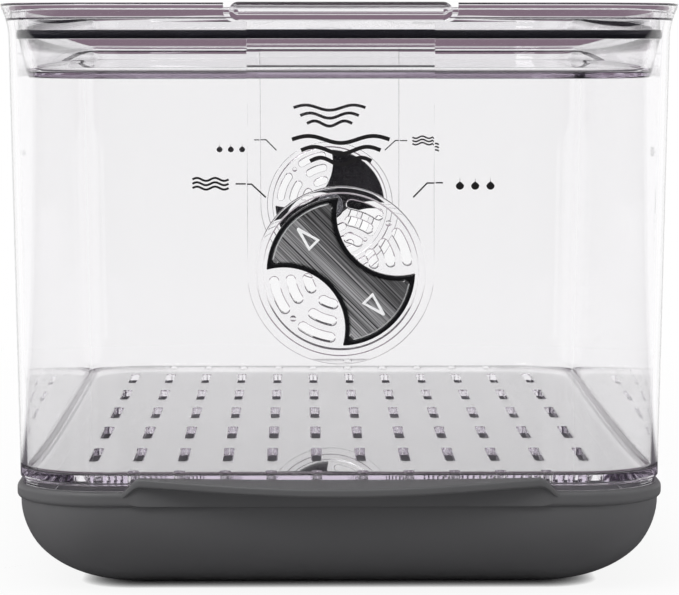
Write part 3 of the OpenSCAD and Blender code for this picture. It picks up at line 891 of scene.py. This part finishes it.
def print_shapes():
    """Flat outlines of the print round the vent, in mm from its centre, as seen from outside."""
    line, bold, heavy = 0.42, 0.62, 1.15
    # heights of the leader lines, and the places where they stop on either side of the pad's edge
    left, right, low = 25.0, 25.3, 21.2
    outside, inside = PAD_R + 0.3, PAD_R - 0.1
    shapes = [
        stroke([(-30.2, left), (-outside, left)], line),
        stroke([(-inside, left), (-25.6, left), (-21.5, low)], line),
        stroke([(29.4, right), (outside, right)], line),
        stroke([(inside, right), (24.8, right), (20.8, low)], line),
    ]
    for k in range(3):
        shapes.append(stroke(wave(-42.6, -32.2, left + 1.3 - 1.25 * k, line, 2), bold))
    for k in range(3):
        shapes.append(drop(34.3 + 4.4 * k, right - 2, 3.8))
    for k in range(3):
        half = 14.0 - 2.6 * k
        shapes.append(stroke(wave(-half, half, 37.8 - 3.1 * k, 1.0, 1.5), heavy))
    return shapes


def ink_depth(outline):
    """Height of the wall below an outline, measured from the pad's face."""
    if max(abs(x) for x, z in outline) <= PAD_R:
        return [0.0] * len(outline)
    return [LIP_L / 2 + outer(VENT_Z + z) - PAD_Y for x, z in outline]


def print_solid(side):
    """The print round a vent, as thin solids on the wall and the pad."""
    shapes = []
    for outline in print_shapes():
        depth = ink_depth(outline)
        low = [(x, z, d - INK_SINK) for (x, z), d in zip(outline, depth)]
        high = [(x, z, d + INK) for (x, z), d in zip(outline, depth)]
        shapes.append(loft([low, high]))
    return solid("print", joined(shapes), at_vent(side))


# Materials, with lengths in metres
class Nodes:
    """Makes, sets and links the nodes of a tree. A _ in a name stands for a socket's space."""

    def __init__(self, tree):
        self.tree = tree
        tree.nodes.clear()

    def put(self, socket, value):
        """Gives a socket a plain value, or links another socket to it."""
        if isinstance(value, bpy.types.NodeSocket):
            self.tree.links.new(value, socket)
        else:
            socket.default_value = value

    def set(self, node, *values, **named):
        """Gives a node its settings, then its sockets values in order or by name."""
        settings = [key for key in named if hasattr(node, key)]
        for key in settings:
            setattr(node, key, named.pop(key))
        for socket, value in zip(node.inputs, values):
            self.put(socket, value)
        for key, value in named.items():
            self.put(node.inputs[key.replace("_", " ")], value)
        return node

    def new(self, kind, *values, **named):
        return self.set(self.tree.nodes.new("ShaderNode" + kind), *values, **named)

    def calc(self, operation, *values):
        return self.new("Math", *values, operation=operation).outputs[0]

    def either(self, a, b):
        return self.calc("MAXIMUM", a, b)

    def times(self, a, b):
        return self.calc("MULTIPLY", a, b)

    def place(self, kind="Object"):
        return self.new("TexCoord").outputs[kind]

    def noise(self, scale, detail):
        """Value of a noise that is fixed to the object."""
        return self.new("TexNoise", Vector=self.place(), Scale=scale, Detail=detail).outputs["Fac"]

    def between(self, value, a, b, low=0.0, high=1.0, **settings):
        """Number from a to b while a value goes from low to high."""
        limits = {"From_Min": low, "From_Max": high, "To_Min": a, "To_Max": b}
        return self.new("MapRange", Value=value, **limits, **settings).outputs[0]

    def tone(self, value, dark, light, low=0.0, high=1.0):
        """Colour between two sRGB tones while a value goes from low to high."""
        node = self.new("ValToRGB", Fac=value)
        dark_end, light_end = node.color_ramp.elements
        dark_end.position, dark_end.color = low, linear(*dark)
        light_end.position, light_end.color = high, linear(*light)
        return node.outputs["Color"]

    def blend(self, factor, a, b):
        """Colour from a to b."""
        return self.new("Mix", data_type="RGBA", Factor=factor, A=a, B=b).outputs["Result"]

    def share(self, factor, a, b):
        """Number from a to b."""
        return self.new("Mix", data_type="FLOAT", Factor=factor, A=a, B=b).outputs[0]

    def bump(self, value, strength, distance):
        return self.new("Bump", Strength=strength, Distance=distance, Height=value).outputs[0]

    def shaders(self, factor, a, b):
        """Shader from a to b."""
        return self.new("MixShader", factor, a.outputs[0], b.outputs[0])

    def ray(self, kind):
        return self.new("LightPath").outputs[kind]

    def clear_ray(self):
        """1 for what shows in a reflection or through clear plastic."""
        return self.either(self.ray("Is Glossy Ray"), self.ray("Is Transmission Ray"))

    def straight_view(self):
        """1 for what the camera sees directly or straight through clear plastic, unreflected."""
        unreflected = self.calc("LESS_THAN", self.ray("Glossy Depth"), 0.5)
        through = self.times(self.ray("Is Transmission Ray"), unreflected)
        return self.either(self.ray("Is Camera Ray"), through)


def material(name):
    """New material, with its nodes, its Principled shader and its output."""
    mat = bpy.data.materials.new(name)
    mat.use_nodes = True
    nodes = Nodes(mat.node_tree)
    shader = nodes.new("BsdfPrincipled")
    return mat, nodes, shader, nodes.new("OutputMaterial", Surface=shader.outputs[0])


def speckled(name, scale, detail, tones, rough, **plain):
    """Material whose colour and roughness follow one fine noise; plain values go on its shader."""
    mat, nodes, shader, out = material(name)
    fine = nodes.noise(scale, detail)
    rough = nodes.between(fine, *rough)
    nodes.set(shader, Base_Color=nodes.tone(fine, *tones), Roughness=rough, **plain)
    return mat


def linear(*rgb):
    """sRGB values from 0 to 255 as a linear colour."""
    out = []
    for v in rgb:
        v /= 255
        out.append(v / 12.92 if v <= 0.04045 else ((v + 0.055) / 1.055) ** 2.4)
    return (*out, 1)


def clear_plastic():
    """Clear glossy plastic, lavender in depth; soft light and shadows pass straight through."""
    mat, nodes, shader, out = material("clear_plastic")
    rough = nodes.between(nodes.noise(55.0, 1.0), 0.0, 0.018)
    nodes.set(shader, Base_Color=(0.998, 0.995, 1.0, 1), Roughness=rough)
    nodes.set(shader, Transmission_Weight=1, IOR=1.47)
    soft = nodes.either(nodes.ray("Is Shadow Ray"), nodes.ray("Is Diffuse Ray"))
    unbent = nodes.new("BsdfTransparent", Color=(0.93, 0.92, 0.94, 1))
    inside = nodes.new("VolumeAbsorption", Color=(0.60, 0.50, 0.66, 1), Density=3.5)
    surface = nodes.shaders(soft, shader, unbent)
    nodes.set(out, Surface=surface.outputs[0], Volume=inside.outputs[0])
    return mat


def matte_plastic():
    """Dark grey plastic with a fine grain."""
    mat, nodes, shader, out = material("tray_plastic")
    fine, broad = nodes.noise(2600.0, 2.0), nodes.noise(14.0, 3.0)
    colour = nodes.tone(broad, (82, 82, 83), (88, 88, 89))
    nodes.set(shader, Base_Color=colour, Roughness=nodes.between(fine, 0.46, 0.60))
    nodes.set(shader, Normal=nodes.bump(fine, 0.10, 0.0001))
    return mat


def rubber():
    tones = (5, 6, 12), (12, 13, 22)
    return speckled("seal_rubber", 900.0, 2.0, tones, (0.45, 0.65), Specular_IOR_Level=0.15)


def black_plastic():
    tones = (11, 11, 13), (19, 19, 22)
    return speckled("black_plastic", 1500.0, 2.0, tones, (0.22, 0.34), Specular_IOR_Level=0.3)


def brushed_metal(name, dark, light, side):
    """Metal with straight brushed lines along the blades, and painted shade that darkens it towards one
    of their edges.
    """
    mat, nodes, shader, out = material(name)
    place = nodes.place()
    turn = (0, BLADE_AXIS if side else -BLADE_AXIS, 0)
    turned = nodes.new("Mapping", Vector=place, Rotation=turn, vector_type="TEXTURE").outputs[0]
    tracks = []
    for along, across in ((25, 4400.0), (16, 2300.0), (9, 500.0)):
        squeezed = nodes.new("Mapping", Vector=turned, Scale=(along, 1, across)).outputs[0]
        track = nodes.new("TexNoise", Vector=squeezed, Scale=1.0, Detail=2.0, Roughness=0.6)
        tracks.append(track.outputs["Fac"])
    lines = nodes.share(0.12, nodes.share(0.35, *tracks[:2]), tracks[2])
    # painted shade: the colour darkens towards the upper right as seen from outside, as if light fell
    # from the lower left
    slant = math.sin(BLADE_AXIS)
    shade_direction = (-slant if side else slant, 0, slant)
    across = nodes.new("VectorMath", place, shade_direction, operation="DOT_PRODUCT").outputs["Value"]
    middle = slant * VENT_Z
    painted_shade = nodes.between(
        across, 1.0, 0.4, (middle - PAINTED_SHADE_BELOW) * MM, (middle + PAINTED_SHADE_ABOVE) * MM
    )
    tone = nodes.tone(lines, dark, light, 0.41, 0.59)
    colour = nodes.new("VectorMath", tone, Scale=painted_shade, operation="SCALE").outputs[0]
    nodes.set(shader, Base_Color=colour, Metallic=0.6, Roughness=nodes.between(lines, 0.34, 0.46))
    nodes.set(shader, Normal=nodes.bump(lines, 0.5, 0.00005))
    return mat


def painted_highlight_metal():
    # painted highlight: near-white colour with little metal stands in for the shine of the polished
    # chamfer arcs and raised triangles
    tones = (244, 244, 245), (254, 254, 254)
    return speckled("painted_highlight_metal", 1800.0, 2.0, tones, (0.3, 0.45), Metallic=0.1)


def steel():
    tones = (168, 170, 174), (205, 207, 210)
    return speckled("fastener_steel", 1200.0, 3.0, tones, (0.2, 0.35), Metallic=1)


def ink():
    mat, nodes, shader, out = material("print_ink")
    colour = nodes.tone(nodes.noise(2000.0, 2.0), (16, 14, 15), (28, 26, 27))
    nodes.set(shader, Base_Color=colour, Roughness=0.5)
    return mat


# The object
clear = clear_plastic()
dress(bin_solid(), "bin_shell", "keeper", clear, ["bin"])
dress(lid_solid(), "lid_shell", "lid", clear, ["lid"])
dress(seal_solid(), "seal_ring", "lid", rubber(), ["lid_seal"], 50)
dress(tray_solid(), "tray_shell", "keeper", matte_plastic(), ["base_tray"], 40)
black, bolt, print_ink, painted_highlight = black_plastic(), steel(), ink(), painted_highlight_metal()
for side, word in ((0, "front"), (1, "back")):
    body = word + "_vent"
    metal = brushed_metal(word + "_brushed_metal", (34, 34, 36), (232, 232, 233), side)
    dress(knob_solid(side), word + "_shutter", body, black, [word + "_knob"])
    face = dress(plate_solid(side), word + "_face", body, metal, [word + "_knob_plate"])
    # painted highlight: near-white on the face's outer chamfer arcs and on the raised triangles
    paint_arc_highlights(face, painted_highlight, side)
    dress(marks_solid(side), word + "_marks", body, painted_highlight)
    dress(washer_solid(side), word + "_washer", body, bolt, [word + "_vent_washer"])
    dress(screw_solid(side), word + "_screw", body, bolt, [word + "_vent_screw"])
    dress(print_solid(side), word + "_print", "keeper", print_ink)


# Floor, light and camera, in metres
FLOOR_HALF = 30.0
FOCAL_PX, PHOTO_W_PX, SENSOR_W = 3042, 679, 36
CAMERA_AT, LOOK_DOWN, LOOK_ASIDE = (-0.0117, -1.032, 0.1599), 4.7, -0.744
BOUNCES, CLEAR_BOUNCES = 64, 24


def floor():
    """White floor with a soft shadow near the object; grey as a light source and in front reflections."""
    mesh = bpy.data.meshes.new("floor")
    corners = [(x * FLOOR_HALF, y * FLOOR_HALF, 0) for x, y in ((-1, -1), (1, -1), (1, 1), (-1, 1))]
    mesh.from_pydata(corners, [], [(0, 1, 2, 3)])
    ob = bpy.data.objects.new("floor", mesh)
    bpy.context.scene.collection.objects.link(ob)
    mat, nodes, shader, out = material("floor")
    place, mirrored = nodes.place(), nodes.clear_ray()
    behind = nodes.between(nodes.new("SeparateXYZ", place).outputs["Y"], 0.0, 1.0, 0.10, 0.16)
    seen = nodes.either(nodes.straight_view(), nodes.times(behind, mirrored))
    unseen = nodes.blend(mirrored, (0.62, 0.62, 0.625, 1), (0.15, 0.14, 0.155, 1))
    colour = nodes.blend(seen, unseen, (0.95, 0.95, 0.95, 1))
    nodes.set(shader, Base_Color=colour, Roughness=0.9, Specular_IOR_Level=0.0)
    contact = nodes.new("AmbientOcclusion", Distance=0.003, samples=8).outputs["AO"]
    wide = nodes.new("AmbientOcclusion", Distance=0.035, samples=8).outputs["AO"]
    shadow = nodes.times(contact, nodes.between(wide, 0.93, 1.0))
    glow = nodes.new("Emission", Color=(1, 1, 1, 1), Strength=shadow)
    far = nodes.new("VectorMath", place, operation="LENGTH").outputs["Value"]
    factor = nodes.times(seen, nodes.between(far, 0.95, 1.0, 0.25, 0.6))
    nodes.set(out, Surface=nodes.shaders(factor, shader, glow).outputs[0])
    ob.data.materials.append(mat)


def world():
    """White background, soft light, and a dim studio with bright panels for reflections."""
    w = bpy.data.worlds.new("studio")
    bpy.context.scene.world = w
    w.use_nodes = True
    nodes = Nodes(w.node_tree)

    def ramp(value, low, high, a=0.0, b=1.0):
        return nodes.between(value, a, b, low, high, interpolation_type="SMOOTHSTEP")

    # parts of the direction looked in: x to the right, y to the back, z up
    x, y, z = nodes.new("SeparateXYZ", nodes.place("Generated")).outputs
    straight = nodes.straight_view()
    low = ramp(z, 0.016, 0.034, 1.0, 0.0)
    reach = nodes.share(straight, ramp(z, 0.17, 0.25, 1.0, 0.0), low)
    behind = nodes.times(ramp(y, 0.35, 0.60), reach)
    sides = nodes.times(ramp(nodes.calc("ABSOLUTE", x), 0.80, 0.93, 0.0, 0.85), ramp(z, 0.05, 0.2))
    above = nodes.times(ramp(z, 0.55, 0.65), ramp(y, -0.35, -0.15, 0.0, 0.8))
    panels = nodes.either(nodes.either(behind, sides), above)
    dark = nodes.blend(ramp(y, -0.3, 0.3), (0.05, 0.042, 0.055, 1), (0.23, 0.165, 0.21, 1))
    studio = nodes.new("Background", Color=nodes.blend(panels, dark, (1, 1, 1, 1)))
    soft = nodes.new("Background", Color=(0.32, 0.322, 0.325, 1))
    white = nodes.new("Background", Color=(1, 1, 1, 1))
    unseen = nodes.shaders(nodes.clear_ray(), soft, studio)
    plain = nodes.either(nodes.ray("Is Camera Ray"), nodes.times(straight, low))
    nodes.new("OutputWorld", Surface=nodes.shaders(plain, unseen, white).outputs[0])


def lamp(name, place, aim, size, power):
    """Rectangular lamp that shines from one place at another."""
    data = bpy.data.lights.new(name, "AREA")
    data.shape = "RECTANGLE"
    data.size, data.size_y = size
    data.energy = power
    ob = bpy.data.objects.new(name, data)
    bpy.context.scene.collection.objects.link(ob)
    ob.location = place
    ob.rotation_euler = (Vector(aim) - Vector(place)).to_track_quat("-Z", "Y").to_euler()
    return ob


def camera():
    """Camera at the photograph's viewing angle."""
    data = bpy.data.cameras.new("camera")
    data.sensor_width = SENSOR_W
    data.lens = FOCAL_PX / PHOTO_W_PX * SENSOR_W
    data.clip_start, data.clip_end = 0.05, 2 * FLOOR_HALF
    ob = bpy.data.objects.new("camera", data)
    bpy.context.scene.collection.objects.link(ob)
    ob.location = CAMERA_AT
    ob.rotation_euler = (math.radians(90 - LOOK_DOWN), 0, math.radians(LOOK_ASIDE))
    bpy.context.scene.camera = ob


floor()
world()
lamp("key", place=(-0.5, -0.9, 1.1), aim=(0, 0, 0.08), size=(0.9, 0.6), power=10)
for side in (-1, 1):
    wing = lamp("side", place=(1.3 * side, -0.5, 0.5), aim=(0, 0, 0.06), size=(0.7, 0.9), power=11)
    wing.visible_glossy = wing.visible_transmission = False
camera()

scene = bpy.context.scene
scene.view_settings.view_transform = "Standard"
scene.cycles.max_bounces = BOUNCES
scene.cycles.transmission_bounces = BOUNCES
scene.cycles.transparent_max_bounces = CLEAR_BOUNCES
scene.cycles.glossy_bounces = BOUNCES
